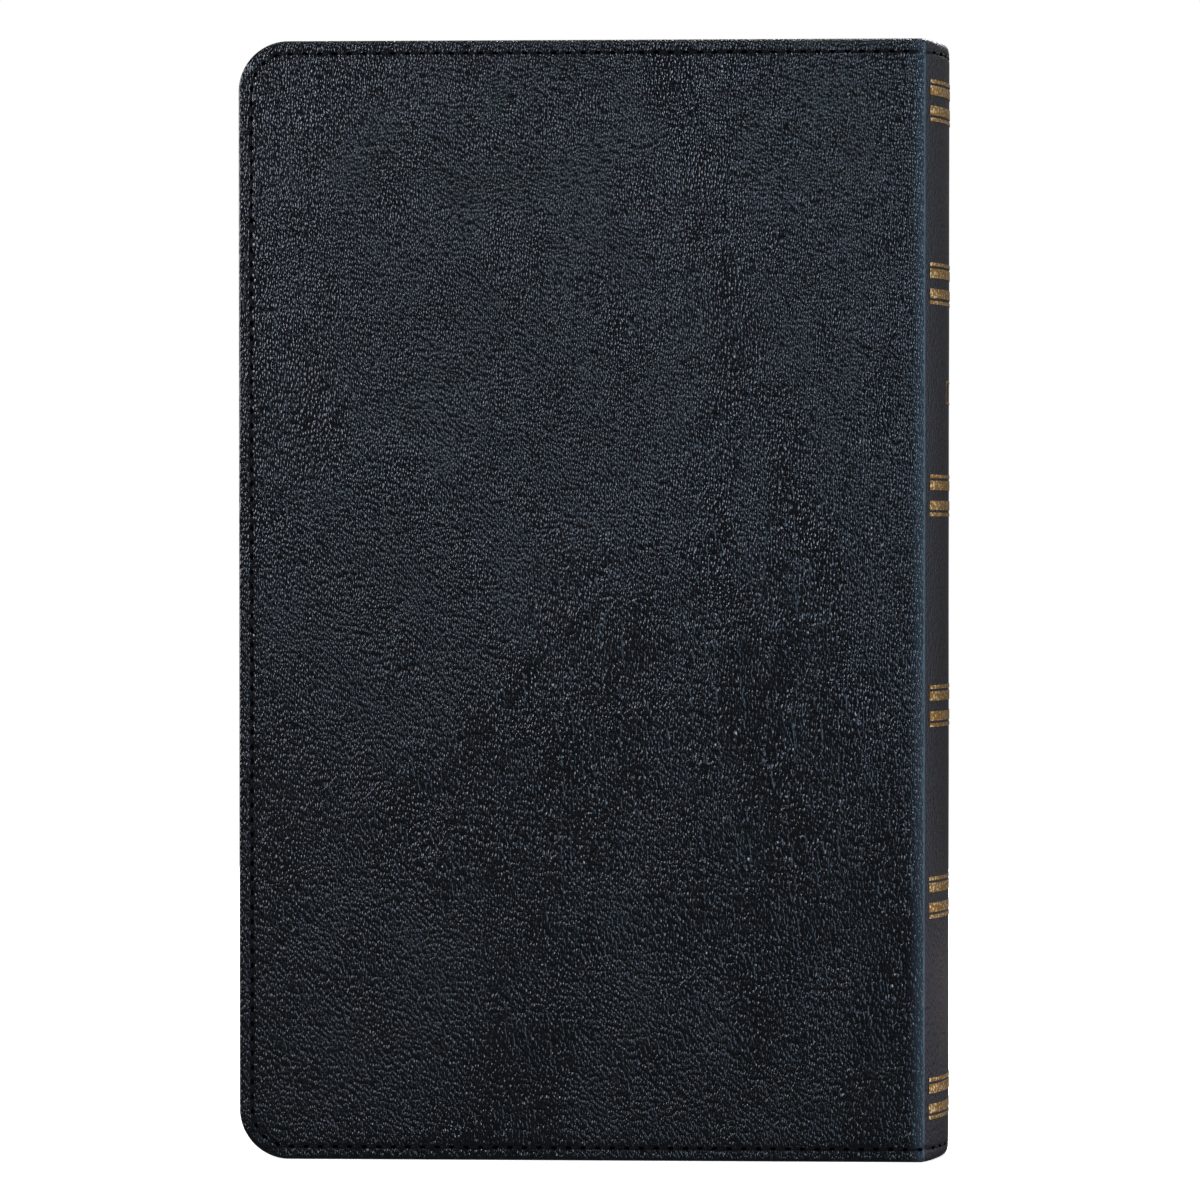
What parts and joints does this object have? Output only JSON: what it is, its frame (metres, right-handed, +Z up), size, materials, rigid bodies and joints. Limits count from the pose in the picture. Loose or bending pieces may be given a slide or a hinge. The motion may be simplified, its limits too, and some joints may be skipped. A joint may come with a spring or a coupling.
{
  "type": "bible",
  "caption": "Limp-bound bible in black grained leather with stitched edges, hinged covers, gold rules across a rounded spine and sewn gatherings of thin paper.",
  "frame": {"origin": "middle of the footprint on the surface the book stands on, at the tail edge of the covers", "axes": "+Z up from tail to head, +X towards the spine, +Y towards the front cover; the back cover faces -Y"},
  "size_m": [0.1464, 0.03, 0.23],
  "materials": {
    "cover_leather": "black bonded leather with a fine pebble grain, semi-matt",
    "gold_foil": "hot-stamped matt gold foil",
    "cover_board": "flexible grey board",
    "endpaper": "black coated endpaper",
    "page_paper": "thin ivory bible paper with gilt edges",
    "stitching_thread": "black bonded thread",
    "spine_liner_paper": "kraft paper",
    "mull_gauze": "open-weave starched gauze",
    "headband_cloth": "woven cotton headband",
    "ribbon_satin": "satin ribbon"
  },
  "bodies": {
    "spine_middle": {"middle_spine_leather": "cover_leather", "middle_gathering": "page_paper", "ribbon_marker": "ribbon_satin"},
    "front_half": {"front_spine_leather": "cover_leather", "front_spine_liner": "spine_liner_paper", "front_mull": "mull_gauze", "front_head_headband": "headband_cloth", "front_tail_headband": "headband_cloth", "front_gathering_1": "page_paper", "front_gathering_2": "page_paper", "front_gathering_3": "page_paper", "front_gathering_4": "page_paper", "front_gathering_5": "page_paper", "front_gathering_6": "page_paper", "front_gathering_7": "page_paper"},
    "front_cover": {"front_cover_leather": "cover_leather", "front_cover_board": "cover_board", "front_pastedown": "endpaper", "front_cover_stitching": "stitching_thread"},
    "front_flyleaf": {"front_flyleaf": "endpaper"},
    "front_turning_pages_1": {"front_turning_pages_1": "page_paper"},
    "front_turning_pages_2": {"front_turning_pages_2": "page_paper"},
    "back_half": {"back_spine_leather": "cover_leather", "back_spine_liner": "spine_liner_paper", "back_mull": "mull_gauze", "back_head_headband": "headband_cloth", "back_tail_headband": "headband_cloth", "back_gathering_1": "page_paper", "back_gathering_2": "page_paper", "back_gathering_3": "page_paper", "back_gathering_4": "page_paper", "back_gathering_5": "page_paper", "back_gathering_6": "page_paper", "back_gathering_7": "page_paper"},
    "back_cover": {"back_cover_leather": "cover_leather", "back_cover_board": "cover_board", "back_pastedown": "endpaper", "back_cover_stitching": "stitching_thread"},
    "back_flyleaf": {"back_flyleaf": "endpaper"},
    "back_turning_pages_1": {"back_turning_pages_1": "page_paper"},
    "back_turning_pages_2": {"back_turning_pages_2": "page_paper"}
  },
  "joints": [
    {"name": "front_half_opening", "type": "hinge", "parent": "spine_middle", "child": "front_half", "pos_m": [0.07325, 0.00115, 0.115], "axis": [0, 0, -1], "range_deg": [0, 90]},
    {"name": "front_cover_hinge", "type": "hinge", "parent": "front_half", "child": "front_cover", "pos_m": [0.0673, 0.01515, 0.115], "axis": [0, 0, -1], "range_deg": [0, 90]},
    {"name": "front_flyleaf_fold", "type": "hinge", "parent": "front_half", "child": "front_flyleaf", "pos_m": [0.0645, 0.0127, 0.115], "axis": [0, 0, -1], "range_deg": [0, 55]},
    {"name": "front_turning_pages_1_fold", "type": "hinge", "parent": "spine_middle", "child": "front_turning_pages_1", "pos_m": [0.07085, 0.00145, 0.115], "axis": [0, 0, -1], "range_deg": [0, 30]},
    {"name": "front_turning_pages_2_fold", "type": "hinge", "parent": "spine_middle", "child": "front_turning_pages_2", "pos_m": [0.07082, 0.0018, 0.115], "axis": [0, 0, -1], "range_deg": [0, 60]},
    {"name": "back_half_opening", "type": "hinge", "parent": "spine_middle", "child": "back_half", "pos_m": [0.07325, -0.00115, 0.115], "axis": [0, 0, 1], "range_deg": [0, 90]},
    {"name": "back_cover_hinge", "type": "hinge", "parent": "back_half", "child": "back_cover", "pos_m": [0.0673, -0.01515, 0.115], "axis": [0, 0, 1], "range_deg": [0, 90]},
    {"name": "back_flyleaf_fold", "type": "hinge", "parent": "back_half", "child": "back_flyleaf", "pos_m": [0.0645, -0.0127, 0.115], "axis": [0, 0, 1], "range_deg": [0, 55]},
    {"name": "back_turning_pages_1_fold", "type": "hinge", "parent": "spine_middle", "child": "back_turning_pages_1", "pos_m": [0.07085, -0.00145, 0.115], "axis": [0, 0, 1], "range_deg": [0, 30]},
    {"name": "back_turning_pages_2_fold", "type": "hinge", "parent": "spine_middle", "child": "back_turning_pages_2", "pos_m": [0.07082, -0.0018, 0.115], "axis": [0, 0, 1], "range_deg": [0, 60]}
  ],
  "couplings": [
    {"joint": "front_flyleaf_fold", "follows": "front_cover_hinge", "ratio": 0.6},
    {"joint": "front_turning_pages_1_fold", "follows": "front_half_opening", "ratio": 0.33},
    {"joint": "front_turning_pages_2_fold", "follows": "front_half_opening", "ratio": 0.66},
    {"joint": "back_flyleaf_fold", "follows": "back_cover_hinge", "ratio": 0.6},
    {"joint": "back_turning_pages_1_fold", "follows": "back_half_opening", "ratio": 0.33},
    {"joint": "back_turning_pages_2_fold", "follows": "back_half_opening", "ratio": 0.66}
  ]
}
